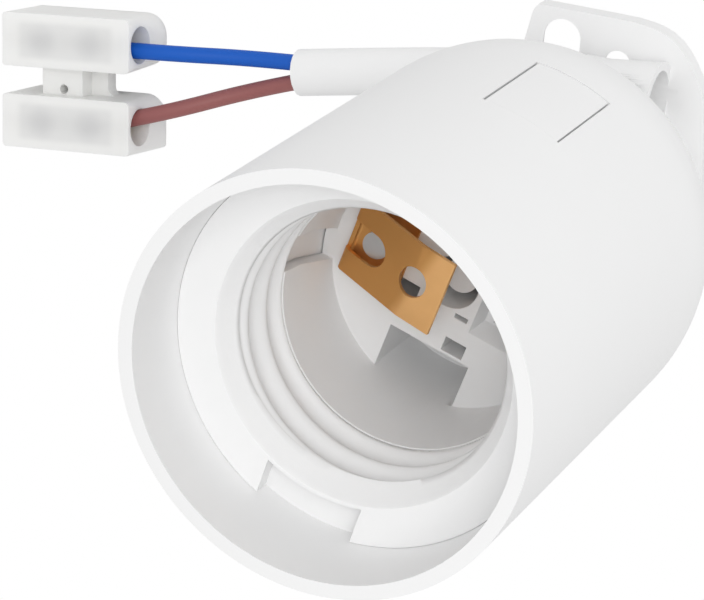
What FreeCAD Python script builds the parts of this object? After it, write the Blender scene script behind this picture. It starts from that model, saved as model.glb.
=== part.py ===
# Screw-base lamp holder with a snap-in threaded sleeve, a two-core lead and a two-pole terminal block.
# The holder stands mouth up on the flat back of its mounting plate. Z is its axis, and Y points to the lug.
import FreeCAD, Part
import math
import os
import re

from FreeCAD import Placement, Rotation, Vector
import Sketcher

DOC = FreeCAD.newDocument("LampHolder")
SIZES = DOC.addObject("Spreadsheet::Sheet", "sizes")
Z_AXIS = Vector(0, 0, 1)

# Driving dimensions in millimetres and degrees. Heights are measured up from the back of the plate.
DIMENSIONS = {
    # outer shell
    "total_height": 66.5,
    "barrel_radius": 19.0,
    "shell_wall": 1.35,
    "dome_height": 25.2,
    "plate_thickness": 1.9,
    "plate_radius": 11.5,
    "lug_reach": 16.8,
    "lug_left": 7.75,
    "lug_right": 9.95,
    "lug_left_root": 10.4,
    "lug_right_root": 11.3,
    "lug_root": 3.5,
    "lug_left_round": 2.0,
    "lug_right_round": 5.0,
    "neck_radius": 10.0,
    "neck_flare_radius": 12.4,
    "neck_flare_height": 11.5,
    "slot_x": -4.66,
    "slot_y": 12.0,
    "slot_width": 3.9,
    "slot_length": 6.4,
    "core_hole_x": 1.4,
    "core_hole_y": 11.7,
    "core_hole_radius": 1.35,
    "boss_start": -1.0,
    "boss_end": 6.9,
    "boss_radius": 3.85,
    "tunnel_radius": 2.95,
    "tunnel_y": 9.8,
    "tunnel_height": 4.8,
    "rib_reach": 5.0,
    "rib_width": 1.6,
    "post_radius": 1.64,
    "post_drop": 2.0,
    "post_foot_radius": 3.2,
    "seat_radius": 14.5,
    "seat_thickness": 1.95,
    # latches and their windows
    "latch_angle": 71.0,
    "latch_width": 7.4,
    "latch_low": 27.95,
    "latch_high": 40.85,
    "latch_inset": 0.05,
    "latch_thickness": 1.85,
    "latch_web_width": 5.0,
    "latch_web_thickness": 2.2,
    "window_side_gap": 0.2,
    "window_end_gap": 0.12,
    # threaded sleeve
    "ring_depth": 8.25,
    "ring_thickness": 1.9,
    "ring_clearance": 0.03,
    "ring_gap_angle": 255.0,
    "ring_gap_width": 9.5,
    "sleeve_radius": 14.3,
    "mouth_radius": 13.95,
    "lip_radius": 13.3,
    "lip_depth": 1.0,
    "bore_radius": 12.35,
    "bore_lead_in": 2.3,
    "sleeve_bore_radius": 13.35,
    "thread_foot": 46.6,
    "sleeve_foot": 30.0,
    # contact carrier: a cup that is drawn in a frame turned with the contacts
    "contact_angle": -17.0,
    "ledge_height": 38.0,
    "carrier_clearance": 0.12,
    "carrier_foot": 27.2,
    "cup_radius": 12.25,
    "cup_foot_radius": 11.95,
    "cup_top_gap": 0.15,
    "cup_slot_start": -14.0,
    "cup_slot_depth": 3.4,
    "cup_slot_rise": 8.6,
    "cup_slot_low_front": -3.9,
    "cup_slot_low_back": -0.9,
    "cup_slot_high_front": -1.9,
    "cup_slot_high_back": 1.9,
    "pocket_left": -3.95,
    "pocket_right": 4.35,
    "pocket_edge": -6.95,
    "pocket_floor": 29.4,
    "well_radius": 2.5,
    "tongue_left": 1.3,
    "tongue_right": 2.6,
    "tongue_top": -2.65,
    "tongue_bottom": -5.25,
    "tongue_slit": 0.45,
    "catch_right": 3.45,
    "catch_bottom": -6.65,
    "catch_depth": 4.0,
    "opening_left": -5.6,
    "opening_right": -2.7,
    "opening_bottom": -4.4,
    "opening_top": -2.1,
    "recess_left": 3.7,
    "recess_right": 12.5,
    "recess_bottom": -2.6,
    "recess_top": 4.4,
    "recess_depth": 1.6,
    "recess_left_slope": 0.6,
    "recess_bottom_slope": 1.15,
    # centre contact strip
    "strip_thickness": 0.4,
    "strip_width": 7.5,
    "strip_tip": 0.65,
    "strip_bend": -2.8,
    "strip_fold": -10.5,
    "strip_foot": -4.6,
    "strip_tip_rise": 4.1,
    "strip_bend_rise": 3.7,
    "strip_fold_radius": 0.55,
    "strip_bend_radius": 1.5,
    "strip_hole_radius": 1.45,
    "strip_slot_width": 3.1,
    "strip_slot_end": -6.1,
    # rivets and tags
    "centre_rivet_x": -7.8,
    "side_rivet_x": 6.6,
    "rivet_head_radius": 1.3,
    "rivet_head_height": 0.7,
    "rivet_shank_radius": 0.9,
    "rivet_clearance": 0.05,
    "tag_length": 5.2,
    "tag_inset": 1.9,
    "centre_barrel_x": -5.2,
    "side_barrel_x": 4.6,
    "barrel_tube_radius": 1.25,
    "barrel_tube_start": 1.2,
    "barrel_tube_length": 3.4,
    # side contact strip
    "side_width": 4.4,
    "side_foot": 4.6,
    "side_riser": 11.2,
    "side_top_rise": 8.2,
    "side_touch": 10.7,
    "side_touch_rise": 5.5,
    "side_bend_radius": 0.9,
    # lead
    "sheath_radius": 2.45,
    "sheath_clearance": 0.2,
    "core_radius": 0.85,
    "bare_radius": 0.45,
    "grip_clearance": 0.3,
    "grip_height": 2.4,
    "grip_radius": 4.1,
    # terminal block, drawn in its own frame with its screws down, then laid on one long edge
    "block_x": -56.97,
    "block_y": -1.19,
    "block_angle": 7.0,
    "block_tilt": 8.4,
    "block_depth": 8.0,
    "pole_foot_length": 15.8,
    "pole_face_length": 15.35,
    "pole_width": 5.7,
    "pole_pitch": 8.7,
    "pole_foot_round": 2.4,
    "pole_face_round": 0.5,
    "pole_corner_round": 0.4,
    "screw_spacing": 5.0,
    "web_left": -3.75,
    "web_right": 3.1,
    "web_low": 2.5,
    "web_drop": 1.8,
    "web_hole_radius": 0.5,
    "web_hole_x": -1.15,
    "web_hole_y": -0.85,
    "web_recess_left": 1.1,
    "web_recess_depth": 2.0,
    "web_notch_round": 0.9,
    "wire_height": 5.55,
    "blue_shift": -0.6,
    "brown_shift": 0.55,
    "tube_radius": 2.0,
    "tube_bore_radius": 1.5,
    "tube_length": 11.0,
    "clamp_hole_radius": 1.75,
    "clamp_head_radius": 1.65,
    "clamp_head_low": 0.7,
    "clamp_head_height": 1.5,
    "clamp_shank_radius": 1.25,
    "clamp_bite": 0.15,
    "core_entry": 5.6,
    "clamp_slot_width": 0.5,
    "clamp_slot_depth": 0.7,
}

# The lead's routes, as points chosen by hand. The sheath rises into the holder beside the axis.
SHEATH_ROUTE = [(3.7, 9.9, 20.5), (3.7, 9.9, 4.9), (-8.3, 9.6, 4.6), (-20.5, 6.9, 2.5), (-32.8, 4.27, 2.45)]
BLUE_ROUTE = [(-33.0, 5.25, 2.45), (-38.4, 4.78, 2.6), (-46.4, 4.6, 5.95), (-51.96, 3.98, 5.99)]
BROWN_ROUTE = [(-32.65, 3.37, 2.45), (-38.0, 1.4, 2.6), (-46.3, -1.72, 7.0), (-51.05, -3.43, 7.1)]
BLUE_LEAD_ROUTE = [(2.75, 9.9, 20.5), (2.5, 10.1, 24.4), (-2.6, 9.2, 25.6), (-4.4, 3.4, 25.6)]
BROWN_LEAD_ROUTE = [(4.65, 9.9, 20.5), (4.9, 10.0, 24.2), (6.4, 5.0, 25.6), (5.2, 1.4, 25.6)]


def fill_sheet():
    """Write every driving dimension into the sheet as a plain number with its name as the alias."""
    for row, (alias, value) in enumerate(DIMENSIONS.items(), start=1):
        SIZES.set("A%d" % row, alias)
        SIZES.set("B%d" % row, str(value))
        SIZES.setAlias("B%d" % row, alias)
    DOC.recompute()


def size(alias):
    """One driving dimension as a number."""
    return float(SIZES.get(alias))


def bound(text):
    """An expression in which each driving dimension is read from the sheet."""
    return re.sub(r"\b(%s)\b" % "|".join(DIMENSIONS), r"sizes.\1", text)


def link(thing, **sizes):
    """Bind properties of an object to expressions on the sheet."""
    for name, text in sizes.items():
        thing.setExpression(name, bound(text))
    return thing


def move(thing, x="0", y="0", z="0"):
    """Bind the place of an object to expressions on the sheet."""
    for axis, text in (("x", x), ("y", y), ("z", z)):
        thing.setExpression("Placement.Base." + axis, bound(text))
    return thing


def turn(thing, angle):
    """Turn an object about Z by an angle from the sheet."""
    thing.Placement = Placement(thing.Placement.Base, Rotation(Z_AXIS, 1))
    thing.setExpression("Placement.Rotation.Angle", bound("(%s) * 1deg" % angle))
    return thing


def cylinder(name, radius, low, high, x="0", y="0"):
    """An upright cylinder between two heights."""
    thing = link(DOC.addObject("Part::Cylinder", name), Radius=radius, Height="(%s) - (%s)" % (high, low))
    return move(thing, x, y, low)


def bar(name, radius, start, end, y, z):
    """A cylinder that lies along X between two places."""
    thing = link(DOC.addObject("Part::Cylinder", name), Radius=radius, Height="(%s) - (%s)" % (end, start))
    thing.Placement = Placement(Vector(), Rotation(Vector(0, 1, 0), 90))
    return move(thing, start, y, z)


def box(name, left, right, front, back, low, high):
    """A box between two places on each axis."""
    thing = link(DOC.addObject("Part::Box", name), Length="(%s) - (%s)" % (right, left),
                 Width="(%s) - (%s)" % (back, front), Height="(%s) - (%s)" % (high, low))
    return move(thing, left, front, low)


def radial_box(name, near, far, width, low, high, angle):
    """A box that points outwards from the axis at an angle."""
    thing = link(DOC.addObject("Part::Box", name), Length="(%s) - (%s)" % (far, near), Width=width,
                 Height="(%s) - (%s)" % (high, low))
    turn(thing, angle)
    along = "cos((%s) * 1deg)" % angle
    across = "sin((%s) * 1deg)" % angle
    x = "(%s) * %s + (%s) / 2 * %s" % (near, along, width, across)
    y = "(%s) * %s - (%s) / 2 * %s" % (near, across, width, along)
    return move(thing, x, y, low)


def sphere(name, radius, height):
    """A ball on the axis."""
    return move(link(DOC.addObject("Part::Sphere", name), Radius=radius), z=height)


def cone(name, low_radius, high_radius, low, high):
    """A cone on the axis between two heights."""
    thing = link(DOC.addObject("Part::Cone", name), Radius1=low_radius, Radius2=high_radius,
                 Height="(%s) - (%s)" % (high, low))
    return move(thing, z=low)


def fuse(name, shapes):
    """Several shapes joined into one."""
    thing = DOC.addObject("Part::MultiFuse", name)
    thing.Shapes = shapes
    thing.Refine = True
    return thing


def cut(name, base, tool):
    """One shape with another taken out of it."""
    thing = DOC.addObject("Part::Cut", name)
    thing.Base, thing.Tool = base, tool
    return thing


def common(name, first, second):
    """What two shapes share."""
    thing = DOC.addObject("Part::Common", name)
    thing.Base, thing.Tool = first, second
    return thing


def outline(body, name, role, points):
    """A closed sketch on an origin plane, with each corner bound to a pair of expressions."""
    sketch = body.newObject("Sketcher::SketchObject", name)
    plane = next(item for item in body.Origin.OriginFeatures if item.Role == role)
    sketch.AttachmentSupport = (plane, [""])
    sketch.MapMode = "FlatFace"
    corners = [Vector(*[evaluate(text) for text in pair], 0) for pair in points]
    for index, corner in enumerate(corners):
        sketch.addGeometry(Part.LineSegment(corner, corners[(index + 1) % len(corners)]), False)
    for index in range(len(corners)):
        sketch.addConstraint(Sketcher.Constraint("Coincident", index, 2, (index + 1) % len(corners), 1))
    for index, (pair, corner) in enumerate(zip(points, corners)):
        for axis, text, value in zip("XY", pair, corner):
            number = sketch.addConstraint(Sketcher.Constraint("Distance" + axis, -1, 1, index, 1, value))
            sketch.setExpression("Constraints[%d]" % number, bound(text))
    return sketch


def evaluate(text):
    """The number that an expression on the sheet gives."""
    return float(SIZES.evalExpression(re.sub(r"sizes\.", "", bound(text))))


def turned(name, points):
    """A body of revolution about Z from the corners of its section, each a radius and a height."""
    body = DOC.addObject("PartDesign::Body", name)
    sketch = outline(body, name + "_section", "XZ_Plane", points)
    feature = body.newObject("PartDesign::Revolution", name + "_turned")
    feature.Profile = sketch
    feature.ReferenceAxis = (sketch, ["V_Axis"])
    feature.Angle = 360
    DOC.recompute()
    return body


def padded(name, role, points, length):
    """A flat body from the corners of its outline and its thickness."""
    body = DOC.addObject("PartDesign::Body", name)
    sketch = outline(body, name + "_outline", role, points)
    feature = link(body.newObject("PartDesign::Pad", name + "_pad"), Length=length)
    feature.Profile = sketch
    DOC.recompute()
    return body


def round_corner(body, name, x, y, radius):
    """Round the upright edge of a flat body that stands at one corner."""
    corner = Vector(evaluate(x), evaluate(y), 0)
    for number, edge in enumerate(body.Tip.Shape.Edges, start=1):
        ends = [vertex.Point for vertex in edge.Vertexes]
        if all((Vector(end.x, end.y, 0) - corner).Length < 1e-4 for end in ends):
            fillet = link(body.newObject("PartDesign::Fillet", name), Radius=radius)
            fillet.Base = (body.Tip.BaseFeature if body.Tip is fillet else body.Tip, ["Edge%d" % number])
            body.Tip = fillet
            DOC.recompute()
            return
    raise ValueError("no upright edge at the corner for " + name)


def held_shape(name, shape, placement=None):
    """A shape that was made in code, held by the document."""
    thing = DOC.addObject("Part::Feature", name)
    thing.Shape = shape
    if placement is not None:
        thing.Placement = placement
    return thing


def path_wire(points, radii):
    """Straight runs through the points, joined by tangent arcs of the given radii."""
    edges = []
    start = points[0]
    for before, corner, after, radius in zip(points, points[1:], points[2:], radii):
        back, ahead = (before - corner).normalize(), (after - corner).normalize()
        half = back.getAngle(ahead) / 2
        reach = radius / math.tan(half)
        middle = corner + (back + ahead).normalize() * (radius / math.sin(half) - radius)
        edges.append(Part.LineSegment(start, corner + back * reach).toShape())
        edges.append(Part.Arc(corner + back * reach, middle, corner + ahead * reach).toShape())
        start = corner + ahead * reach
    edges.append(Part.LineSegment(start, points[-1]).toShape())
    return Part.Wire(edges)


def cord_radii(points):
    """The arc at each inner point: as large as its two runs allow."""
    radii = []
    for before, corner, after in zip(points, points[1:], points[2:]):
        turn_angle = math.pi - (before - corner).getAngle(after - corner)
        shorter = min((before - corner).Length, (after - corner).Length)
        radii.append(0.45 * shorter / math.tan(turn_angle / 2))
    return radii


def cord_tube(route, radius):
    """A round tube along a route."""
    points = [Vector(*point) for point in route]
    wire = path_wire(points, cord_radii(points))
    ring = Part.Wire(Part.makeCircle(radius, points[0], points[1] - points[0]))
    return wire.makePipeShell([ring], True, False), wire


def cord(name, route, radius):
    """A stretch of the lead in a node of its own."""
    shape, wire = cord_tube(route, radius)
    expected = math.pi * radius ** 2 * wire.Length
    radii = ", ".join("%.1f" % value for value in cord_radii([Vector(*point) for point in route]))
    ratio = shape.Volume / expected
    print("%s: length %.1f, volume ratio %.4f, radii %s" % (name, wire.Length, ratio, radii))
    return held_shape(name, shape)


def bent_strip(points, radii, thickness, width):
    """A strip of sheet metal of even thickness that follows a path in the XZ plane, centred on Y."""
    spine = path_wire(points, radii)
    first = points[1] - points[0]
    across = first.cross(Vector(0, 1, 0)).normalize() * (thickness / 2)
    side = Vector(0, width / 2, 0)
    corners = [points[0] + across + side, points[0] + across - side, points[0] - across - side,
               points[0] - across + side]
    section = Part.makePolygon(corners + corners[:1])
    return spine.makePipeShell([section], True, False)


def flat_outline(left, right, front, back, height, rounds=(0, 0, 0, 0)):
    """A closed wire at one height: a rectangle whose corners are rounded, counted from the left front."""
    corners = [Vector(left, front, height), Vector(right, front, height), Vector(right, back, height),
               Vector(left, back, height)]
    edges, ends = [], []
    for index, (corner, radius) in enumerate(zip(corners, rounds)):
        neighbours = (corners[index - 1], corners[(index + 1) % 4])
        towards = [(neighbour - corner).normalize() for neighbour in neighbours]
        start, end = [corner + way * radius for way in towards]
        ends.append((start, end))
        if radius:
            middle = corner + (towards[0] + towards[1]) * radius * (1 - math.sqrt(0.5))
            edges.append(Part.Arc(start, middle, end).toShape())
    for index in range(4):
        edges.append(Part.LineSegment(ends[index][1], ends[(index + 1) % 4][0]).toShape())
    return Part.Wire(Part.__sortEdges__(edges))


def outer_shell():
    """The moulded shell: skirted barrel, dome, neck, back plate with its lug, and the cable tunnel."""
    inner = "barrel_radius - shell_wall"
    lug = padded("lug", "XY_Plane", [
        ("-lug_left_root", "lug_root"), ("-lug_left_root", "-2"), ("lug_right_root", "-2"),
        ("lug_right_root", "lug_root"), ("lug_right", "lug_reach"), ("-lug_left", "lug_reach")],
        "plate_thickness")
    round_corner(lug, "lug_left_corner", "-lug_left", "lug_reach", "lug_left_round")
    round_corner(lug, "lug_right_corner", "lug_right", "lug_reach", "lug_right_round")
    outside = fuse("shell_outside", [
        cylinder("barrel", "barrel_radius", "dome_height", "total_height"),
        sphere("dome", "barrel_radius", "dome_height"),
        cone("neck", "neck_radius", "neck_flare_radius", "plate_thickness / 2", "neck_flare_height"),
        cylinder("plate_disc", "plate_radius", "0", "plate_thickness"),
        lug,
        bar("tunnel_boss", "boss_radius", "boss_start", "boss_end", "tunnel_y", "tunnel_height")])
    hollow = fuse("shell_hollow", [
        cylinder("barrel_hollow", inner, "dome_height", "total_height + 1"),
        sphere("dome_hollow", inner, "dome_height")])
    seat = "total_height - ring_depth - ring_thickness"
    seat_low = seat + " - seat_thickness"
    seat_cuts = [radial_box("latch_way_%d" % index, "seat_radius - 1", inner + " + 0.05",
                            "latch_width + 2 * window_side_gap", seat_low + " - 1", seat + " + 1",
                            "latch_angle + %d" % angle) for index, angle in enumerate((0, 180), start=1)]
    seat_cuts.append(cylinder("seat_inside", "seat_radius", seat_low + " - 1", seat + " + 1"))
    seat_ring = cut("seat_ring", cylinder("seat_outside", inner + " + 0.1", seat_low, seat),
                    fuse("seat_cuts", seat_cuts))
    rib_boxes = [radial_box("rib_%d" % index, inner + " - rib_reach", inner + " + 0.3", "rib_width",
                            "dome_height / 2", "carrier_foot", "contact_angle + %d" % angle)
                 for index, angle in enumerate((0, 120, 240), start=1)]
    ribs = common("ribs", fuse("rib_boxes", rib_boxes), fuse("rib_limit", [
        cylinder("rib_limit_barrel", inner + " + 0.1", "dome_height", "total_height"),
        sphere("rib_limit_dome", inner + " + 0.1", "dome_height")]))
    windows = [radial_box("window_%d" % index, inner + " - 0.5", "barrel_radius + 1",
                          "latch_width + 2 * window_side_gap", "latch_low - window_end_gap",
                          "latch_high + window_end_gap", "latch_angle + %d" % angle)
               for index, angle in enumerate((0, 180), start=1)]
    way, _ = cord_tube(SHEATH_ROUTE[:3], size("sheath_radius") + size("sheath_clearance"))
    openings = fuse("shell_openings", windows + [
        held_shape("cable_way", way),
        bar("tunnel", "tunnel_radius", "-plate_radius - 3", "boss_end + 1", "tunnel_y", "tunnel_height"),
        slot_hole(),
        cylinder("core_hole", "core_hole_radius", "-1", "plate_thickness", "core_hole_x", "core_hole_y")])
    posts = [cylinder("post_foot", "post_foot_radius", "shell_wall + dome_height - barrel_radius - 0.4",
                      "carrier_foot"),
             cylinder("post", "post_radius", "dome_height / 2", "ledge_height - post_drop")]
    walls = fuse("shell_walls", [cut("shell_skin", outside, hollow), seat_ring, ribs] + posts)
    return cut("outer_shell", walls, openings)


def slot_hole():
    """The oval screw hole of the lug, longer along Y."""
    half = "(slot_length - slot_width) / 2"
    ends = [cylinder("slot_end_%s" % side, "slot_width / 2", "-1", "plate_thickness + 1", "slot_x",
                     "slot_y %s %s" % (sign, half)) for side, sign in (("low", "-"), ("high", "+"))]
    middle = box("slot_middle", "slot_x - slot_width / 2", "slot_x + slot_width / 2", "slot_y - " + half,
                 "slot_y + " + half, "-1", "plate_thickness + 1")
    return fuse("slot_hole", ends + [middle])


def thread_sleeve():
    """The threaded sleeve: a ring with a gap, the lamp bore and two latches for the shell's windows."""
    ring_high = "total_height - ring_depth"
    ring_low = ring_high + " - ring_thickness"
    ring_radius = "barrel_radius - shell_wall - ring_clearance"
    tube = turned("sleeve_tube", [
        ("sleeve_bore_radius", "sleeve_foot"), ("sleeve_radius", "sleeve_foot"),
        ("sleeve_radius", ring_low), (ring_radius, ring_low), (ring_radius, ring_high),
        ("mouth_radius", ring_high),
        ("lip_radius", ring_high + " - lip_depth"), ("bore_radius", ring_high + " - bore_lead_in"),
        ("bore_radius", "thread_foot"), ("sleeve_bore_radius", "thread_foot")])
    gap = cut("ring_gap", radial_box("ring_gap_box", "bore_radius", "barrel_radius", "ring_gap_width",
                                     ring_low + " - 1", ring_high + " + 1", "ring_gap_angle"),
              cylinder("ring_gap_core", "sleeve_radius", ring_low + " - 2", ring_high + " + 2"))
    pieces = [cut("gapped_tube", tube, gap)]
    for index, angle in enumerate((0, 180), start=1):
        pieces += latch(index, "latch_angle + %d" % angle)
    return fuse("thread_insert", pieces)


def latch(index, angle):
    """One latch: a curved tab flush with the barrel, on a web from the sleeve."""
    outside = "barrel_radius - latch_inset"
    inside = outside + " - latch_thickness"
    skin = cut("latch_skin_%d" % index,
               cylinder("latch_outside_%d" % index, outside, "latch_low", "latch_high"),
               cylinder("latch_inside_%d" % index, inside, "latch_low - 1", "latch_high + 1"))
    column = radial_box("latch_column_%d" % index, "sleeve_radius", "barrel_radius + 1", "latch_width",
                        "latch_low", "latch_high", angle)
    web = radial_box("latch_web_%d" % index, "(sleeve_bore_radius + sleeve_radius) / 2", inside + " + 0.3",
                     "latch_web_width", "sleeve_foot", "sleeve_foot + latch_web_thickness", angle)
    return [common("latch_tab_%d" % index, skin, column), web]


def contact_carrier():
    """The moulded cup under the bore: a wall, and a floor with a pocket, a well, a tongue and a recess."""
    top = "ledge_height"
    outside = fuse("carrier_outside", [
        cylinder("carrier_cup", "sleeve_bore_radius - carrier_clearance", "carrier_foot",
                 "thread_foot - cup_top_gap"),
        cylinder("carrier_flange", "sleeve_radius", "carrier_foot", "sleeve_foot - 0.05")])
    well = cylinder("well", "well_radius", "carrier_foot - 1", top + " + 1")
    pocket = box("pocket", "pocket_left", "pocket_right", "-cup_radius - 1", "pocket_edge", "pocket_floor",
                 top + " + 1")
    opening = box("opening", "opening_left", "opening_right", "opening_bottom", "opening_top",
                  "carrier_foot - 1", top + " + 1")
    tongue = box("tongue_slot", "tongue_left", "tongue_right", "tongue_top - tongue_slit", "tongue_top",
                 top + " - catch_depth / 2", top + " + 1")
    catch = box("catch", "tongue_left", "catch_right", "catch_bottom", "tongue_bottom",
                top + " - catch_depth", top + " + 1")
    holes = [cylinder("rivet_hole_%s" % side, "rivet_shank_radius + rivet_clearance", "carrier_foot - 1",
                      top + " + 1", place) for side, place in (("centre", "centre_rivet_x"),
                                                             ("side", "side_rivet_x"))]
    hollow = cylinder("cup_hollow", "sleeve_bore_radius", top, "thread_foot + 1")
    floor_tools = fuse("floor_tools", [well, pocket, opening, tongue, catch, recess(), hollow] + holes)
    within = cone("cup_inside", "cup_foot_radius", "cup_radius", "carrier_foot - 1", "thread_foot + 1")
    tools = fuse("carrier_tools", [common("floor_cuts", floor_tools, within), cup_slot()])
    return turn(cut("contact_carrier", outside, tools), "contact_angle")


def recess():
    """The side contact's place in the carrier's floor, with two sloped sides."""
    top = size("ledge_height")
    left, right = size("recess_left"), size("recess_right")
    front, back = size("recess_bottom"), size("recess_top")
    left_high, front_high = left - size("recess_left_slope"), front - size("recess_bottom_slope")
    low = flat_outline(left, right, front, back, top - size("recess_depth"))
    high = flat_outline(left_high, right, front_high, back, top)
    return held_shape("recess", Part.makeLoft([low, high], True, True))


def cup_slot():
    """The leaning slot in the cup's wall behind the centre contact."""
    foot = "ledge_height"
    high = foot + " + cup_slot_rise"
    slot = padded("cup_slot", "YZ_Plane", [
        ("cup_slot_low_front", foot), ("cup_slot_low_back", foot), ("cup_slot_high_back", high),
        ("cup_slot_high_front", high)], "cup_slot_depth")
    return move(slot, "cup_slot_start")


def contact_frame():
    """The place of pieces that are made in code in the frame turned with the contacts."""
    return Placement(Vector(), Rotation(Z_AXIS, size("contact_angle")))


def centre_contact():
    """The bronze strip: a riveted foot, a fold, and a sprung arm that meets the middle of the lamp cap."""
    half = size("strip_thickness") / 2
    ledge = size("ledge_height")
    foot_z = ledge + half
    bend = Vector(size("strip_bend"), 0, ledge + size("strip_bend_rise"))
    fold_radius = size("strip_fold_radius")
    fold_centre = Vector(size("strip_fold") + fold_radius + half, 0, foot_z + fold_radius)
    rise = bend - fold_centre
    slope = math.atan2(rise.z, rise.x) - math.asin(fold_radius / rise.Length)
    corner_x = bend.x - (bend.z - foot_z) / math.tan(slope)
    points = [Vector(size("strip_foot"), 0, foot_z), Vector(corner_x, 0, foot_z), bend,
              Vector(size("strip_tip"), 0, ledge + size("strip_tip_rise"))]
    strip = bent_strip(points, [fold_radius, size("strip_bend_radius")], 2 * half, size("strip_width"))
    above = foot_z + 2 * half
    reach = bend.z - above + 4 * half
    slot_half = size("strip_slot_width") / 2
    slot_end = size("strip_slot_end") - slot_half
    slot_start = size("strip_fold") - 1
    slot = Part.makeBox(slot_end - slot_start, 2 * slot_half, reach, Vector(slot_start, -slot_half, above))
    slot = slot.fuse(Part.makeCylinder(slot_half, reach, Vector(slot_end, 0, above)))
    hole = Part.makeCylinder(size("strip_hole_radius"), reach, Vector(bend.x + 0.2, 0, above))
    rivet_radius = size("rivet_shank_radius") + size("rivet_clearance")
    rivet_foot = Vector(size("centre_rivet_x"), 0, foot_z - 4 * half)
    rivet_hole = Part.makeCylinder(rivet_radius, 8 * half, rivet_foot)
    return held_shape("centre_contact", strip.cut([slot, hole, rivet_hole]), contact_frame())


def side_contact():
    """The plated strip: a riveted foot in the recess and a riser that meets the side of the lamp cap."""
    half = size("strip_thickness") / 2
    ledge = size("ledge_height")
    foot_z = ledge - size("recess_depth") + half
    riser = size("side_riser")
    touch = size("side_touch")
    points = [Vector(size("side_foot"), 0, foot_z), Vector(riser, 0, foot_z),
              Vector(touch, 0, ledge + size("side_touch_rise")),
              Vector(riser, 0, ledge + size("side_top_rise"))]
    strip = bent_strip(points, [size("side_bend_radius")] * 2, 2 * half, size("side_width"))
    rivet_radius = size("rivet_shank_radius") + size("rivet_clearance")
    rivet_foot = Vector(size("side_rivet_x"), 0, foot_z - 4 * half)
    rivet_hole = Part.makeCylinder(rivet_radius, 8 * half, rivet_foot)
    return held_shape("side_contact", strip.cut(rivet_hole), contact_frame())


def rivet(name, x, head_seat):
    """One steel rivet, with a head above its strip and a head under its tag."""
    low = "carrier_foot - strip_thickness"
    shank_low = low + " - rivet_head_height / 2"
    head_high = head_seat + " + rivet_head_height"
    parts = [cylinder(name + "_shank", "rivet_shank_radius", shank_low, head_seat, x),
             cylinder(name + "_head", "rivet_head_radius", head_seat, head_high, x),
             cylinder(name + "_tail", "rivet_head_radius", low + " - rivet_head_height", low, x)]
    return turn(fuse(name, parts), "contact_angle")


def tag(name, x, barrel_x, left, right):
    """A brass tag under the carrier that crimps one lead to one rivet."""
    top = "carrier_foot"
    low = top + " - strip_thickness"
    plate = box(name + "_plate", left + " - tag_inset", right + " + tag_inset", "-tag_inset",
                "tag_length - tag_inset", low, top)
    hole = cylinder(name + "_hole", "rivet_shank_radius + rivet_clearance", low + " - 1", top + " + 1", x)
    tube = cut(name + "_barrel", barrel_bar(name + "_barrel_outside", "barrel_tube_radius", barrel_x, low),
               barrel_bar(name + "_barrel_bore", "core_radius", barrel_x, low))
    return turn(fuse(name, [cut(name + "_sheet", plate, hole), tube]), "contact_angle")


def barrel_bar(name, radius, x, low):
    """A cylinder along Y for a tag's crimp barrel, which hangs just under the tag's plate."""
    thing = link(DOC.addObject("Part::Cylinder", name), Radius=radius, Height="barrel_tube_length")
    thing.Placement = Placement(Vector(), Rotation(Vector(1, 0, 0), -90))
    return move(thing, x, "barrel_tube_start", low + " - barrel_tube_radius + 0.05")


def cord_grip():
    """The moulded ring that grips the end of the sheath, just above the inner face of the dome."""
    x, y, _ = SHEATH_ROUTE[0]
    reach = "(%.4f + grip_radius)" % math.hypot(x, y)
    low = "dome_height - sqrt((barrel_radius - shell_wall)^2 - %s^2) + grip_clearance" % reach
    high = low + " + grip_height"
    return cut("cord_grip", cylinder("grip_outside", "grip_radius", low, high, str(x), str(y)),
               cylinder("grip_bore", "sheath_radius + 0.02", low + " - 1", high + " + 1", str(x), str(y)))


def terminal_block():
    """The soft plastic block: two poles with wells for their screws, joined by a web."""
    solids, holes = [], []
    for name, y in pole_lines():
        solids.append(pole_body(name, evaluate(y)))
        holes.append(bar(name + "_wire_way", "tube_radius", "-pole_foot_length", "pole_foot_length", y,
                         "wire_height"))
        for side, x in screw_places():
            well = "%s_well_%s" % (name, side)
            holes.append(cylinder(well, "clamp_hole_radius", "-1", "wire_height", x, y))
    inner = "(pole_pitch - pole_width) / 2"
    solids.append(box("web", "web_left", "web_right + web_notch_round", "-pole_pitch / 2", "pole_pitch / 2",
                      "web_low", "block_depth - web_drop"))
    holes.append(cylinder("web_hole", "web_hole_radius", "web_low - 1", "block_depth", "web_hole_x",
                          "web_hole_y"))
    holes.append(box("web_recess", "web_recess_left", "pole_foot_length / 2", "-" + inner, inner,
                     "block_depth - web_drop - web_recess_depth", "block_depth + 1"))
    low, high = "web_low - 1", "block_depth"
    notch_x = "web_right + web_notch_round"
    notch_y = "(" + inner + " - web_notch_round)"
    holes += [cylinder("notch_%s" % side, "web_notch_round", low, high, notch_x, sign + notch_y)
              for side, sign in (("front", "-"), ("back", ""))]
    holes.append(box("notch_middle", "web_right", notch_x, "-" + notch_y, notch_y, low, high))
    return in_block(cut("terminal_block", fuse("block_solids", solids), fuse("block_holes", holes)))


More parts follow.
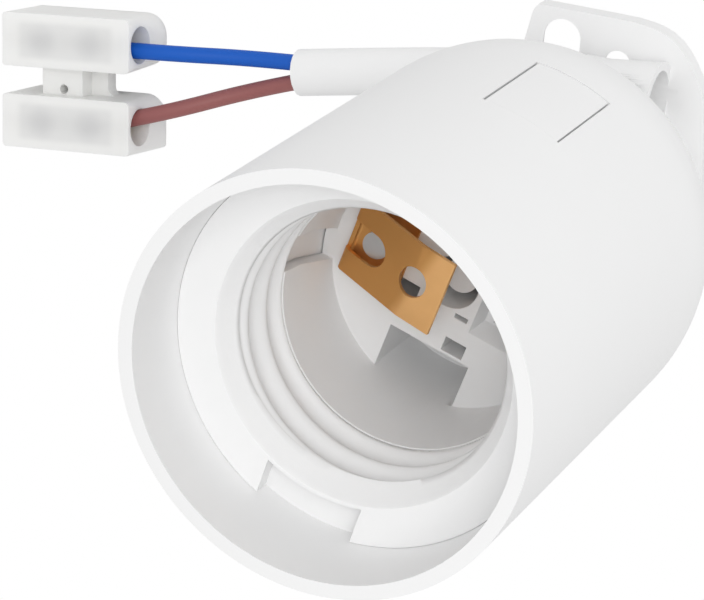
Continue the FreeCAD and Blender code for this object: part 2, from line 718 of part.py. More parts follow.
def pole_body(name, y):
    """One pole: a body that tapers a little to its face, rounded at its foot on the side of the wires."""
    half = size("pole_width") / 2
    sharp, foot, face = size("pole_corner_round"), size("pole_foot_round"), size("pole_face_round")
    rounds = {"blue": ((sharp, foot, foot, sharp), (sharp, face, face, sharp)),
              "brown": ((sharp, sharp, foot, sharp), (sharp, sharp, face, sharp))}[name]
    foot_half, face_half = size("pole_foot_length") / 2, size("pole_face_length") / 2
    wires = [flat_outline(-foot_half, foot_half, y - half, y + half, 0, rounds[0]),
             flat_outline(-face_half, face_half, y - half, y + half, size("block_depth"), rounds[1])]
    return held_shape(name + "_pole", Part.makeLoft(wires, True, True))


def pole_lines():
    """The name and the Y line of each pole in the block's frame."""
    return (("blue", "pole_pitch / 2"), ("brown", "-pole_pitch / 2"))


def screw_places():
    """The name and the X place of each screw of a pole in the block's frame."""
    return (("outer", "-screw_spacing / 2"), ("inner", "screw_spacing / 2"))


def in_block(thing):
    """Put a piece that is drawn in the block's frame where the block lies, tilted on one long edge."""
    tilt = Rotation(Vector(1, 0, 0), -size("block_tilt"))
    rise = evaluate("(pole_pitch + pole_width) / 2") * math.sin(math.radians(size("block_tilt")))
    place = Vector(size("block_x"), size("block_y"), rise)
    thing.Placement = Placement(place, Rotation(Z_AXIS, size("block_angle")).multiply(tilt))
    return thing


def clamp_tube(name, y):
    """The brass tube of one pole, with a threaded hole for each clamp screw."""
    half = "tube_length / 2"
    holes = [bar(name + "_tube_bore", "tube_bore_radius", "-" + half + " - 1", half + " + 1", y,
                 "wire_height")]
    holes += [cylinder("%s_thread_%s" % (name, side), "clamp_shank_radius + 0.02",
                       "wire_height - tube_radius - 1", "wire_height", x, y) for side, x in screw_places()]
    outside = bar(name + "_tube", "tube_radius", "-" + half, half, y, "wire_height")
    return in_block(cut(name + "_clamp", outside, fuse(name + "_tube_holes", holes)))


def clamp_screws(name, y):
    """The two slotted clamp screws of one pole."""
    head_high = "clamp_head_low + clamp_head_height"
    screws, slots = [], []
    for side, x in screw_places():
        screws.append(cylinder("%s_head_%s" % (name, side), "clamp_head_radius", "clamp_head_low", head_high,
                               x, y))
        screws.append(cylinder("%s_shank_%s" % (name, side), "clamp_shank_radius", "clamp_head_low",
                               "wire_height - bare_radius + clamp_bite", x, y))
        slots.append(box("%s_slot_%s" % (name, side), x + " - clamp_head_radius",
                         x + " + clamp_head_radius", y + " - clamp_slot_width / 2",
                         y + " + clamp_slot_width / 2", "0",
                         "clamp_head_low + clamp_slot_depth"))
    slotted = cut(name + "_clamp_screws", fuse(name + "_screws", screws), fuse(name + "_slots", slots))
    return in_block(slotted)


def wire_end(name, y):
    """The bared end of one core inside its clamp tube, dented where the two screws press on it."""
    shift = {"blue": "blue_shift", "brown": "brown_shift"}[name]
    wire = bar(name + "_wire", "bare_radius", "-screw_spacing / 2 - 1", "core_entry", y + " + " + shift,
               "wire_height")
    dents = [cylinder("%s_dent_%s" % (name, side), "clamp_shank_radius", "0",
                      "wire_height - bare_radius + clamp_bite", x, y) for side, x in screw_places()]
    return in_block(cut(name + "_wire_end", wire, fuse(name + "_dents", dents)))


def build():
    """Make every sub-part and return them in order."""
    fill_sheet()
    parts = [outer_shell(), thread_sleeve(), contact_carrier(), centre_contact(), side_contact(),
             rivet("centre_rivet", "centre_rivet_x", "ledge_height + strip_thickness"),
             rivet("side_rivet", "side_rivet_x", "ledge_height - recess_depth + strip_thickness"),
             tag("centre_tag", "centre_rivet_x", "centre_barrel_x", "centre_rivet_x",
                 "centre_barrel_x - 0.7"),
             tag("side_tag", "side_rivet_x", "side_barrel_x", "side_barrel_x + 0.7", "side_rivet_x"),
             cord_grip(),
             cord("cable_sheath", SHEATH_ROUTE, size("sheath_radius")),
             cord("blue_core", BLUE_ROUTE, size("core_radius")),
             cord("brown_core", BROWN_ROUTE, size("core_radius")),
             cord("blue_lead", BLUE_LEAD_ROUTE, size("core_radius")),
             cord("brown_lead", BROWN_LEAD_ROUTE, size("core_radius")), terminal_block()]
    for name, y in pole_lines():
        parts += [clamp_tube(name, y), clamp_screws(name, y), wire_end(name, y)]
    return parts


def check(parts):
    """Stop if anything in the document failed or a sub-part isn't a valid solid."""
    for thing in DOC.Objects:
        if "Invalid" in thing.State or "Error" in thing.State:
            raise RuntimeError("%s failed: %s" % (thing.Name, thing.State))
    for part in parts:
        if part.Shape.isNull() or not part.Shape.isValid() or not part.Shape.Solids:
            raise RuntimeError("%s is not a valid solid" % part.Label)


def write(parts):
    """Write each sub-part to its own file."""
    os.makedirs("parts", exist_ok=True)
    for part in parts:
        part.Shape.exportStep("parts/%s.step" % part.Label)
        print("%-18s solids %d  volume %.1f" % (part.Label, len(part.Shape.Solids), part.Shape.Volume))


PARTS = build()
DOC.recompute()
check(PARTS)
write(PARTS)
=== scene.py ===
# %% [markdown]
# # A screw lamp holder with its lead and terminal block
#
# The real object is a small electrical fitting: a moulded shell with a threaded sleeve inside it, a carrier with
# two contacts at the bottom, and a short lead that ends in a terminal block. The sizes and places of all these
# pieces come from the frame. This file gives them their surfaces, and makes the pieces whose form is too fine for
# the frame, in metres and in the frame's own coordinates.

import math

import bpy
import bmesh
import numpy as np
from mathutils import Matrix, Vector


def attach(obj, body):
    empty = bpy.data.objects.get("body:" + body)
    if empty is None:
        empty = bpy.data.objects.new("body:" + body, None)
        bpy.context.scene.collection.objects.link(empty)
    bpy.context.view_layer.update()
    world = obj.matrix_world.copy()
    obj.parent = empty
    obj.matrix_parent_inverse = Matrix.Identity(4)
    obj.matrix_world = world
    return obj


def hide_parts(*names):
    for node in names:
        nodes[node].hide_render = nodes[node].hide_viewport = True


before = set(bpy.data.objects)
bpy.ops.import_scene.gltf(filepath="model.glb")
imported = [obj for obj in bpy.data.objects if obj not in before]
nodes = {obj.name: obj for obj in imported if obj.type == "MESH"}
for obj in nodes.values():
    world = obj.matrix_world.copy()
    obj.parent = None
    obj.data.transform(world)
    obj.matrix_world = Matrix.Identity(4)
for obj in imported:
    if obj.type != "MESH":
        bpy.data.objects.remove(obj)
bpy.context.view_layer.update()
MM = 0.001

# %% [markdown]
# ## The camera
#
# The photograph looks down into the mouth of the holder from a little to one side, with the picture rolled so that
# the axis points to the lower left. A camera needs a place, a direction and a roll. All three are written here as
# a place and the three directions of the camera's own axes, because a rolled camera is hard to read as angles.

# %% Place the camera
EYE = Vector((92.72, 100.94, 277.32)) * MM
RIGHT = Vector((0.906, 0.0675, -0.418))
UP = Vector((-0.2135, 0.9247, -0.3139))
LENS_MM = 155.25
SENSOR_MM = 36.0

camera_data = bpy.data.cameras.new("camera")
camera_data.lens = LENS_MM
camera_data.sensor_width = SENSOR_MM
camera_data.clip_start, camera_data.clip_end = 0.01, 10
camera = bpy.data.objects.new("camera", camera_data)
bpy.context.scene.collection.objects.link(camera)
right = RIGHT.normalized()
back = right.cross(UP).normalized()
up = back.cross(right)
turned = Matrix((right, up, back)).transposed().to_4x4()
camera.matrix_world = Matrix.Translation(EYE) @ turned
bpy.context.scene.camera = camera
print("camera looks along", tuple(round(-v, 3) for v in back))

# %% [markdown]
# ## The lead
#
# A lead is one smooth curve of a fixed length. Its route is a short list of given points, the same ones that the
# frame uses, and a NURBS spline of order 3 follows them without sharp corners. The sheath starts at the grip inside
# the dome, turns out of the neck and comes down to the surface that the holder stands on.

# %% Routes of the lead
SHEATH_ROUTE = [(3.7, 9.9, 20.5), (3.7, 9.9, 4.9), (-8.3, 9.6, 4.6), (-20.5, 6.9, 2.5), (-32.8, 4.27, 2.45)]
BLUE_ROUTE = [(-33.0, 5.25, 2.45), (-38.4, 4.78, 2.6), (-46.4, 4.6, 5.95), (-51.96, 3.98, 5.99)]
BROWN_ROUTE = [(-32.65, 3.37, 2.45), (-38.0, 1.4, 2.6), (-46.3, -1.72, 7.0), (-51.05, -3.43, 7.1)]
SHEATH_D = 4.9 * MM
CORE_D = 1.7 * MM


def link(obj):
    """Put an object in the scene, on the frame's one body."""
    bpy.context.scene.collection.objects.link(obj)
    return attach(obj, "root")


def route_curve(name, route, diameter):
    """A round tube that follows a smooth spline with the route's points as its control points.

    The bevel is one metre and each point's radius scales it down to the tube's own. In that way the box that the
    curve reports is that of the tube.
    """
    curve = bpy.data.curves.new(name, "CURVE")
    curve.dimensions = "3D"
    curve.resolution_u = 24
    curve.bevel_depth = 1.0
    curve.bevel_resolution = 8
    curve.use_fill_caps = True
    spline = curve.splines.new("NURBS")
    spline.points.add(len(route) - 1)
    for point, place in zip(spline.points, route):
        point.co = (*[v * MM for v in place], 1)
        point.radius = diameter / 2
    spline.order_u = 3
    spline.use_endpoint_u = True
    return link(bpy.data.objects.new(name, curve))


sheath = route_curve("sheath", SHEATH_ROUTE, SHEATH_D)
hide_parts("cable_sheath")
blue_core = route_curve("blue_wire", BLUE_ROUTE, CORE_D)
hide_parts("blue_core")
brown_core = route_curve("brown_wire", BROWN_ROUTE, CORE_D)
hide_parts("brown_core")

# %% [markdown]
# ## Tools that cut
#
# Some forms are made by taking a closed surface out of a copy of a frame node. Most of these surfaces are a stack of
# rings: each ring has the same number of points, neighbouring rings are joined by a band of four-sided faces, and the
# first and last rings are closed by a flat cap.

# %% Closed surfaces, and how they are taken out of a piece
SMOOTH_TURN = math.radians(40)


def stacked(name, rings):
    """A closed surface over rings of points, in millimetres, that run anticlockwise and lie one above the other."""
    levels, count = len(rings), len(rings[0])
    faces = [tuple(range(count))[::-1]]
    for level in range(levels - 1):
        first, second = level * count, (level + 1) * count
        for i in range(count):
            after = (i + 1) % count
            faces.append((first + i, first + after, second + after, second + i))
    faces.append(tuple((levels - 1) * count + i for i in range(count)))
    mesh = bpy.data.meshes.new(name)
    mesh.from_pydata((np.array(rings, float).reshape(-1, 3) * MM).tolist(), [], faces)
    return mesh


def prism(name, outline, low, high):
    """A closed prism between two heights over an outline."""
    return stacked(name, [[(x, y, z) for x, y in outline] for z in (low, high)])


def turned_solid(first, second, radii, steps=96):
    """A closed cone or cylinder between two points."""
    low, high = Vector(first) * MM, Vector(second) * MM
    mesh = bpy.data.meshes.new("turned")
    work = bmesh.new()
    bmesh.ops.create_cone(work, cap_ends=True, segments=steps, radius1=radii[0] * MM, radius2=radii[1] * MM,
                          depth=(high - low).length)
    place = Matrix.Translation((low + high) / 2) @ (high - low).to_track_quat("Z", "Y").to_matrix().to_4x4()
    bmesh.ops.transform(work, matrix=place, verts=work.verts)
    work.to_mesh(mesh)
    work.free()
    return mesh


def cut_away(piece, mesh):
    """Take a closed surface out of a piece. Its modifiers become part of its mesh first."""
    tool = bpy.data.objects.new("tool", mesh)
    bpy.context.scene.collection.objects.link(tool)
    difference = piece.modifiers.new("carved", "BOOLEAN")
    difference.operation = "DIFFERENCE"
    difference.solver = "EXACT"
    difference.object = tool
    state = bpy.context.evaluated_depsgraph_get()
    piece.data = bpy.data.meshes.new_from_object(piece.evaluated_get(state))
    piece.modifiers.clear()
    bpy.data.objects.remove(tool)


def smoothed(mesh, turn):
    """Smooth shading that breaks at every edge that turns by more than an angle."""
    for polygon in mesh.polygons:
        polygon.use_smooth = True
    mesh.set_sharp_from_angle(angle=turn)


def evened(piece):
    """Smooth shading that keeps the flat faces of a cut piece flat."""
    smoothed(piece.data, SMOOTH_TURN)
    piece.modifiers.new("evened", "WEIGHTED_NORMAL").keep_sharp = True


# %% [markdown]
# ## Soft edges on the mouldings
#
# A moulded part has no sharp edge: the tool's corners are rounded, and the light runs along them as a thin bright
# line. The frame's meshes are loose triangles with knife edges. A copy is merged, its flat triangles are joined
# into whole faces, and a Bevel modifier rounds every edge that turns by more than a set angle. The shell's plate is
# first cut to the outline of its lug: the corner beside the small hole is a wide bend, and the far edge is straight.

# %% Softened copies of four frame nodes
SAME_PLACE = 1e-6
FLAT_TURN = math.radians(0.2)
EDGE_TURN = math.radians(28)
LUG_EDGE = [(-11.0, 16.3), (0.0, 16.3), (2.6, 16.28), (4.2, 16.1), (5.4, 15.85), (6.4, 15.45), (7.4, 14.8),
            (8.2, 14.0), (9.0, 12.95), (9.7, 11.8), (10.3, 10.6), (10.75, 9.4)]
BEYOND_THE_LUG = [(14.0, 9.4), (14.0, 20.0), (-11.0, 20.0)] + LUG_EDGE


def merged(mesh):
    """Join a mesh's doubled points, and its flat triangles into whole faces."""
    work = bmesh.new()
    work.from_mesh(mesh)
    bmesh.ops.remove_doubles(work, verts=work.verts, dist=SAME_PLACE)
    bmesh.ops.dissolve_limit(work, angle_limit=FLAT_TURN, verts=work.verts, edges=work.edges)
    work.to_mesh(mesh)
    work.free()


def softened(node, name, width, cutter=None):
    """A merged copy of a node, with rounded edges, that stands for it."""
    mesh = nodes[node].data.copy()
    merged(mesh)
    mesh.materials.clear()
    piece = link(bpy.data.objects.new(name, mesh))
    if cutter is not None:
        cut_away(piece, cutter)
        merged(piece.data)
    smoothed(piece.data, EDGE_TURN)
    bevel = piece.modifiers.new("rounded", "BEVEL")
    bevel.width = width * MM
    bevel.segments = 3
    bevel.limit_method = "ANGLE"
    bevel.angle_limit = EDGE_TURN
    bevel.harden_normals = True
    bevel.use_clamp_overlap = True
    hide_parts(node)
    return piece


shell = softened("outer_shell", "shell", 0.25, prism("beyond_the_lug", BEYOND_THE_LUG, -1.0, 2.6))
insert = softened("thread_insert", "sleeve", 0.2)
carrier = softened("contact_carrier", "carrier", 0.15)
block = softened("terminal_block", "connector_block", 0.3)

# %% [markdown]
# ## The hood over the cable tunnel
#
# The lead's tunnel runs along X under a round hood. The hood is slimmer than the frame's and widens towards its
# mouth. A tool is made for what has to go: a cylinder round the whole hood, less the slimmer hood, a thin wall round
# the tunnel, the neck and the plate. What is left of the tool is taken out of the shell. The slab that stands for
# the plate ends a little under the plate's face, so that no skin is left on it.
#
# The walls of the lug's two holes lean back towards the plate's rear face, as drafted walls do.

# %% Slim the hood
TUNNEL_Y = 9.8
TUNNEL_Z = 4.8
TOOL_ENDS = (-1.4, 7.3)
TOOL_RADIUS = 4.1
PAST_THE_TOOL = (-3.0, 9.0)
HOOD_RADIUS = 3.87
HOOD_DROP = 0.65
HOOD_SLOPE = 0.134
HOOD_MIDDLE = 2.8
WALL_RADIUS = 3.1
NECK_HEIGHTS = (0.95, 11.5)
NECK_RADII = (10.02, 12.42)
PLATE_TOP = 1.899
OVER_THE_PLATE = [(-3, 5), (9, 5), (9, 15), (-3, 15)]


def along_the_tunnel(ends, radius, drop=0.0, slope=0.0):
    """A cylinder along X at the tunnel's height, that may lie nearer the axis and slope away from it."""
    places = [(x, TUNNEL_Y - drop + slope * (x - HOOD_MIDDLE), TUNNEL_Z) for x in ends]
    return turned_solid(*places, (radius, radius))


spare = bpy.data.objects.new("spare", along_the_tunnel(TOOL_ENDS, TOOL_RADIUS))
bpy.context.scene.collection.objects.link(spare)
cut_away(spare, along_the_tunnel(PAST_THE_TOOL, HOOD_RADIUS, HOOD_DROP, HOOD_SLOPE))
cut_away(spare, along_the_tunnel(PAST_THE_TOOL, WALL_RADIUS))
cut_away(spare, turned_solid(*[(0, 0, z) for z in NECK_HEIGHTS], NECK_RADII))
cut_away(spare, prism("plate_slab", OVER_THE_PLATE, -1.0, PLATE_TOP))
cut_away(shell, spare.data)
bpy.data.objects.remove(spare)

# %% Drafted walls in the lug's two holes
SLOT_MIDDLE = (-4.66, 12.0)
SLOT_SIZE = (3.9, 6.4)
CORE_HOLE = (1.4, 11.7)
CORE_HOLE_RADII = (2.032, 1.35)
DRAFT_FOOT = -0.2
DRAFT_TOP = 1.75
DRAFT_WIDENS = 0.62


def oval_ring(middle, size, extra, height, steps=24):
    """An oval of two half circles, wider than its size by so much all round, at one height."""
    width, length = size
    radius, straight = width / 2 + extra, (length - width) / 2
    ring = []
    for side, first in ((1, 0.0), (-1, np.pi)):
        for turn in np.linspace(first, first + np.pi, steps):
            x = middle[0] + radius * np.cos(turn)
            y = middle[1] + side * straight + radius * np.sin(turn)
            ring.append((x, y, height))
    return ring


foot_widens = DRAFT_WIDENS * (DRAFT_TOP - DRAFT_FOOT) / DRAFT_TOP
cut_away(shell, stacked("slot_tool", [oval_ring(SLOT_MIDDLE, SLOT_SIZE, foot_widens, DRAFT_FOOT),
                                      oval_ring(SLOT_MIDDLE, SLOT_SIZE, 0.0, DRAFT_TOP)]))
cut_away(shell, turned_solid((*CORE_HOLE, DRAFT_FOOT), (*CORE_HOLE, DRAFT_TOP), CORE_HOLE_RADII))
evened(shell)

# %% [markdown]
# ## The lamp thread
#
# The thread of a lamp socket is a smooth wave that winds up the bore: its radius depends on the height above a
# line that climbs by one pitch in each turn. The frame's bore is plain, at the radius of the thread's crests. A
# screw-shaped surface is made here from that one formula and taken out of the sleeve, and what is left is the
# thread. The groove fades out at both ends of the bore, as a real thread does. The carrier's cup reaches up into
# the foot of the bore, so its rim is raised here and the sleeve is opened for it by the same tool.

# %% Cut the thread into the sleeve
THREAD_PITCH = 3.629
CREST_RADIUS = 12.35
ROOT_RADIUS = 13.4
CREST_HEIGHT = 55.5
CREST_ANGLE = math.radians(230)
THREAD_FOOT = 48.3
THREAD_TOP = 56.6
FADE_LENGTH = 0.9
SCREW_LOW = 46.3
SCREW_HIGH = 59.0
HAIR = 0.01
CUP_REACH = 13.35
RIM_STARTS = 46.35
CUP_RISE = 1.8


def screw_rings(around=216, levels=72):
    """Rings whose radius is a wave along a line that climbs by one pitch in each turn.

    The wave stays a hair inside the crests, so that the bore's own wall is left there.
    """
    angle = np.arange(around) * 2 * np.pi / around
    foot = [SCREW_LOW, THREAD_FOOT - HAIR]
    height = np.concatenate([foot, np.linspace(THREAD_FOOT, SCREW_HIGH, levels - len(foot))])
    angles, heights = np.meshgrid(angle, height)
    climb = CREST_HEIGHT + THREAD_PITCH * (angles - CREST_ANGLE) / (2 * np.pi)
    wave = 0.5 - 0.5 * np.cos(2 * np.pi * (heights - climb) / THREAD_PITCH)
    fade = np.clip(np.minimum(heights - THREAD_FOOT, THREAD_TOP - heights) / FADE_LENGTH, 0, 1)
    radius = CREST_RADIUS - HAIR + (ROOT_RADIUS - CREST_RADIUS) * wave * fade * fade * (3 - 2 * fade)
    radius[heights < THREAD_FOOT - HAIR / 2] = CUP_REACH
    return np.stack([radius * np.cos(angles), radius * np.sin(angles), heights], -1)


cut_away(insert, stacked("screw", screw_rings()))
evened(insert)
for vertex in carrier.data.vertices:
    if vertex.co.z > RIM_STARTS * MM:
        vertex.co.z += CUP_RISE * MM
print("sleeve faces after the thread:", len(insert.data.polygons))

# %% [markdown]
# ## The floor of the gap
#
# The ring inside the mouth has a gap. A flat floor lies in it, on the seat that carries the ring. It is a short
# section that is swept round the axis.

# %% Sweep the floor of the gap
GAP_HEIGHTS = (55.47, 56.37)
GAP_RADII = (14.28, 17.66)
GAP_ANGLES = (234.5, 275.2)
GAP_STEPS = 40

gap_section = [(GAP_RADII[i], GAP_HEIGHTS[j]) for i, j in ((0, 0), (1, 0), (1, 1), (0, 1))]
gap_turns = np.radians(np.linspace(*GAP_ANGLES, GAP_STEPS + 1))
gap_rings = [[(r * np.cos(t), r * np.sin(t), z) for r, z in gap_section] for t in gap_turns]
gap_floor = link(bpy.data.objects.new("gap_floor", stacked("gap_floor", gap_rings)))

# %% [markdown]
# ## Finishes
#
# Shader maths is easier to read as Python than as a drawing of nodes. A small class wraps one output of the node
# tree, and the usual operators add the Math node for it. Everything else goes through one method that takes the
# node's type, its settings, and what feeds its sockets.

# %% Shader maths as Python


class Value:
    """One output in a material's node tree, on which operators add Math nodes."""

    def __init__(self, finish, socket):
        self.finish = finish
        self.socket = socket

    def math(self, operation, *others):
        """A Math node on this value and the others."""
        return self.finish.add("Math", {"operation": operation}, dict(enumerate((self, *others))))

    def __add__(self, other):
        return self.math("ADD", other)

    def __sub__(self, other):
        return self.math("SUBTRACT", other)

    def __mul__(self, other):
        return self.math("MULTIPLY", other)

    def soft(self, zero, one):
        """A value from 0 to 1 that turns smoothly between two places."""
        feeds = {"Value": self, "From Min": zero, "From Max": one, "To Min": 0.0, "To Max": 1.0}
        return self.finish.add("MapRange", {"interpolation_type": "SMOOTHSTEP"}, feeds)


class Finish:
    """A material that is written as expressions on the values of its nodes."""

    def __init__(self, name):
        self.material = bpy.data.materials.new(name)
        self.material.use_nodes = True
        self.tree = self.material.node_tree
        self.tree.nodes.clear()

    def add(self, kind, settings=None, inputs=None, output=0):
        """Add a node, set it up, feed its sockets and return one of its outputs."""
        node = self.tree.nodes.new("ShaderNode" + kind)
        for key, setting in (settings or {}).items():
            setattr(node, key, setting)
        for key, value in (inputs or {}).items():
            found = [s for s in node.inputs if s.identifier == key]
            socket = found[0] if found else node.inputs[key]
            if isinstance(value, Value):
                self.tree.links.new(value.socket, socket)
            else:
                socket.default_value = value
        return Value(self, node.outputs[output])

    def place(self):
        """The place on the piece, in metres."""
        return self.add("TexCoord", output="Object")

    def noise(self, scale, detail):
        """Cloudy values from 0 to 1, with so many clouds to the metre."""
        feeds = {"Vector": self.place(), "Scale": scale, "Detail": detail, "Roughness": 0.5}
        return self.add("TexNoise", None, feeds)

    def blend(self, factor, first, second):
        """A mix of two colours."""
        feeds = {"Factor_Float": factor, "A_Color": first, "B_Color": second}
        return self.add("Mix", {"data_type": "RGBA"}, feeds, output=2)

    def bump(self, height, distance, strength):
        """A normal that rises and falls with a height from 0 to 1, over so many metres."""
        return self.add("Bump", None, {"Height": height, "Distance": distance, "Strength": strength})

    def surface(self, feeds):
        """The Principled shader that ends the material."""
        shader = self.add("BsdfPrincipled", None, feeds)
        output = self.tree.nodes.new("ShaderNodeOutputMaterial")
        self.tree.links.new(shader.socket, output.inputs["Surface"])
        return self.material


def rgb(red, green, blue):
    """A colour as a shader takes it."""
    return (red, green, blue, 1.0)


# %% Plastics
CLOUDS = 90
SKIN = 2600
SKIN_RISE = 0.00002


def moulded(name, colour, dark, roughness):
    """Satin thermoplastic: faint clouds from the mould, and a fine orange-peel skin."""
    finish = Finish(name)
    clouds = finish.noise(CLOUDS, 3)
    skin = finish.noise(SKIN, 2)
    return finish.surface({
        "Base Color": finish.blend(clouds, rgb(*dark), rgb(*colour)),
        "Roughness": clouds * 0.1 + (roughness - 0.05),
        "Normal": finish.bump(skin, SKIN_RISE, 0.35),
        "Specular IOR Level": 0.4})


WHITE = moulded("shell_plastic", (0.91, 0.91, 0.91), (0.89, 0.89, 0.89), 0.42)
CARRIER = moulded("carrier_plastic", (0.88, 0.88, 0.88), (0.86, 0.86, 0.86), 0.5)
SHEATH = moulded("sheath_plastic", (0.97, 0.97, 0.97), (0.95, 0.95, 0.95), 0.5)
BLUE = moulded("blue_plastic", (0.0, 0.115, 0.58), (0.0, 0.095, 0.52), 0.55)
BROWN = moulded("brown_plastic", (0.36, 0.13, 0.12), (0.3, 0.1, 0.1), 0.45)

# %% Metals
PATCHES = 500
STRIP_ALONG = (0.843, -0.538, 0.0)
# Where the painted shade on the contact strip starts and where it is full, in millimetres along the strip.
STRIP_SHADE_STARTS = -1.6
STRIP_SHADE_FULL = -3.0


def metal(name, colour, dark, roughness):
    """Rolled or plated metal with faint patches."""
    finish = Finish(name)
    patches = finish.noise(PATCHES, 4)
    return finish.surface({
        "Base Color": finish.blend(patches, rgb(*dark), rgb(*colour)), "Metallic": 1.0,
        "Roughness": patches * 0.15 + roughness})


def bronze():
    """Spring bronze with painted shade: a darker copy of the bronze on the stretch that leads down to the bend, and
    the free end past the bend left bright.
    """
    finish = Finish("contact_bronze")
    patches = finish.noise(PATCHES, 4)
    along = finish.add("VectorMath", {"operation": "DOT_PRODUCT"}, {0: finish.place(), 1: STRIP_ALONG}, output=1)
    # Painted shade: the strip fades to a darker bronze on its way down to the bend.
    painted_arm_shade = (along * (1 / MM)).soft(STRIP_SHADE_STARTS, STRIP_SHADE_FULL)
    tip = finish.blend(patches, rgb(0.9, 0.5, 0.2), rgb(1.0, 0.6, 0.26))
    return finish.surface({
        "Base Color": finish.blend(painted_arm_shade, tip, rgb(0.7, 0.36, 0.12)), "Metallic": 1.0,
        "Roughness": patches * 0.15 + 0.36})


BRONZE = bronze()
STEEL = metal("plated_steel", (0.6, 0.6, 0.6), (0.5, 0.5, 0.5), 0.3)
BRASS = metal("tube_brass", (0.72, 0.6, 0.34), (0.62, 0.5, 0.26), 0.3)
COPPER = metal("bare_copper", (0.8, 0.42, 0.26), (0.7, 0.34, 0.2), 0.3)

# %% [markdown]
# ## The milky block
#
# The block's plastic is milky, so the brass tubes and their screws show through it as blurred shades. They are worked
# out from two distances: along the block, and across it from the line of the nearer tube.

# %% Milky plastic with shades in it
BLOCK_PLACE = (-56.97, -1.19, 1.05)
BLOCK_ALONG = (0.9926, 0.1219, 0.0)
BLOCK_ACROSS = (-0.1206, 0.9819, -0.1461)
TUBE_LINE = 4.35
TUBE_HALF_WIDTH = (2.3, 1.5)
TUBE_HALF_LENGTH = (6.2, 5.0)
SCREW_PLACE = 2.9
SCREW_RADIUS = (2.4, 0.2)
TUBE_SHADE = 0.42
SCREW_SHADE = 0.58
BLOCK_CLOUDS = 260


def milky():
    """Soft plastic that blurs what is inside it: the clamps are a faint shade, and the screws darker spots."""
    finish = Finish("block_plastic")
    offset = finish.add("VectorMath", {"operation": "SUBTRACT"},
                        {0: finish.place(), 1: [v * MM for v in BLOCK_PLACE]})

    def measure(direction):
        """Millimetres from the block's middle in one direction."""
        return finish.add("VectorMath", {"operation": "DOT_PRODUCT"}, {0: offset, 1: direction}, output=1) * (1 / MM)

    along, across = measure(BLOCK_ALONG).math("ABSOLUTE"), measure(BLOCK_ACROSS).math("ABSOLUTE")
    line = across - TUBE_LINE
    clamp = line.math("ABSOLUTE").soft(*TUBE_HALF_WIDTH) * along.soft(*TUBE_HALF_LENGTH)
    beside = along - SCREW_PLACE
    spot = (beside * beside + line * line).math("SQRT").soft(*SCREW_RADIUS)
    clouds = finish.noise(BLOCK_CLOUDS, 3)
    shade = clamp * TUBE_SHADE + spot * SCREW_SHADE * (clouds * 0.8 + 0.5)
    return finish.surface({
        "Base Color": finish.blend(shade, rgb(0.9, 0.9, 0.885), rgb(0.7, 0.7, 0.7)),
        "Roughness": clouds * 0.1 + 0.36, "Subsurface Weight": 0.5, "Subsurface Radius": (1.0, 1.0, 1.0),
        "Subsurface Scale": 0.0015})


MILKY = milky()

# %% A finish for every piece and every frame node
PAINT = {
    shell: WHITE, insert: WHITE, carrier: CARRIER, block: MILKY, sheath: SHEATH, blue_core: BLUE, brown_core: BROWN,
    gap_floor: WHITE}
for piece, material in PAINT.items():
    piece.data.materials.clear()
    piece.data.materials.append(material)
NODE_PAINT = {
    "centre_contact": BRONZE, "side_contact": STEEL, "centre_rivet": STEEL, "side_rivet": STEEL,
    "centre_tag": BRASS, "side_tag": BRASS, "cord_grip": CARRIER, "blue_lead": BLUE, "brown_lead": BROWN,
    "blue_clamp": BRASS, "brown_clamp": BRASS, "blue_clamp_screws": STEEL, "brown_clamp_screws": STEEL,
    "blue_wire_end": COPPER, "brown_wire_end": COPPER, "outer_shell": WHITE, "thread_insert": WHITE,
    "contact_carrier": CARRIER, "terminal_block": MILKY, "cable_sheath": SHEATH, "blue_core": BLUE,
    "brown_core": BROWN}
for name, material in NODE_PAINT.items():
    nodes[name].data.materials.clear()
    nodes[name].data.materials.append(material)

# %% [markdown]
# ## Floor, world and lamps
#
# The picture has a plain white ground. To the camera, the floor and the world are white; to every other ray, the
# floor is pale paper and the world is a little dimmer, so that the white plastic keeps its shades. A large lamp
# stands to the right and above, and a narrow beam from the camera's side lights the bottom of the bore.

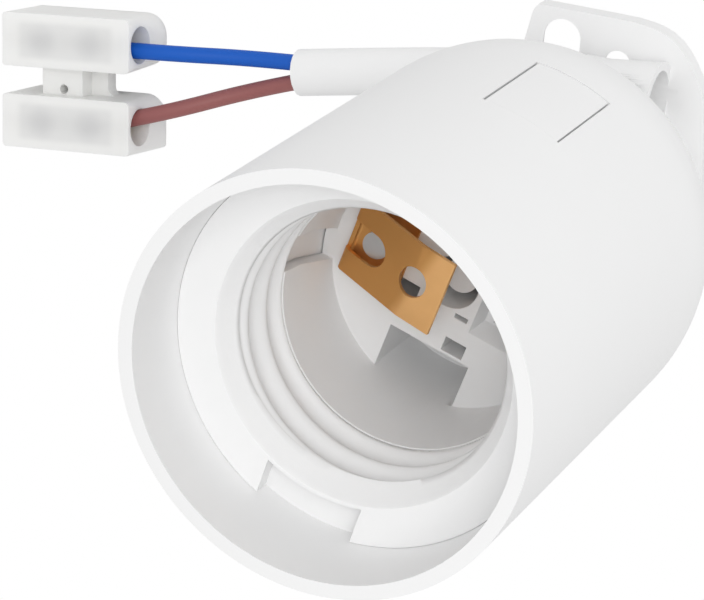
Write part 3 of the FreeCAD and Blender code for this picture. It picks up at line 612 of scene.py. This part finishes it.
# %% Floor
FLOOR_HALF = 2.0
floor_mesh = bpy.data.meshes.new("floor")
floor_corners = [(x * FLOOR_HALF, y * FLOOR_HALF, 0) for x, y in ((-1, -1), (1, -1), (1, 1), (-1, 1))]
floor_mesh.from_pydata(floor_corners, [], [(0, 1, 2, 3)])
floor = bpy.data.objects.new("floor", floor_mesh)
bpy.context.scene.collection.objects.link(floor)
ground = Finish("floor_paper")
paper = ground.add("BsdfDiffuse", None, {"Color": rgb(0.86, 0.86, 0.86)})
seen = ground.add("LightPath", output="Is Camera Ray")
glow = ground.add("Emission", None, {"Color": rgb(1, 1, 1), "Strength": 1.0})
mixed = ground.add("MixShader", None, {0: seen, 1: paper, 2: glow})
out = ground.tree.nodes.new("ShaderNodeOutputMaterial")
ground.tree.links.new(mixed.socket, out.inputs["Surface"])
floor_mesh.materials.append(ground.material)

# %% World
WORLD_LIGHT = 0.7
WORLD_SEEN = 1.0
world = bpy.data.worlds.new("studio")
world.use_nodes = True
tree = world.node_tree
around = tree.nodes["Background"]
behind = tree.nodes.new("ShaderNodeBackground")
for background, strength in ((around, WORLD_LIGHT), (behind, WORLD_SEEN)):
    background.inputs["Color"].default_value = rgb(1, 1, 1)
    background.inputs["Strength"].default_value = strength
light_path = tree.nodes.new("ShaderNodeLightPath")
both = tree.nodes.new("ShaderNodeMixShader")
tree.links.new(light_path.outputs["Is Camera Ray"], both.inputs[0])
tree.links.new(around.outputs[0], both.inputs[1])
tree.links.new(behind.outputs[0], both.inputs[2])
tree.links.new(both.outputs[0], tree.nodes["World Output"].inputs["Surface"])
bpy.context.scene.world = world

# %% Lamps
KEY_PLACE = Vector((0.35, 0.3, 0.8))
KEY_TARGET = Vector((0, 0, 0.03))
BEAM_TARGET = Vector((5.0, -1.0, 42.0)) * MM


def lamp(name, kind, place, target, **settings):
    """A lamp at a place that looks at a point."""
    data = bpy.data.lights.new(name, kind)
    for key, setting in settings.items():
        setattr(data, key, setting)
    thing = bpy.data.objects.new(name, data)
    thing.location = place
    thing.rotation_mode = "QUATERNION"
    thing.rotation_quaternion = (place - target).to_track_quat("Z", "Y")
    bpy.context.scene.collection.objects.link(thing)


lamp("key", "AREA", KEY_PLACE, KEY_TARGET, size=0.6, energy=3.0)
lamp("into_the_mouth", "SPOT", EYE, BEAM_TARGET, energy=0.8, spot_size=math.radians(5.2), spot_blend=0.7,
     shadow_soft_size=0.03)
bpy.context.scene.view_settings.view_transform = "Standard"

# %% Update the scene and finish
bpy.context.view_layer.update()
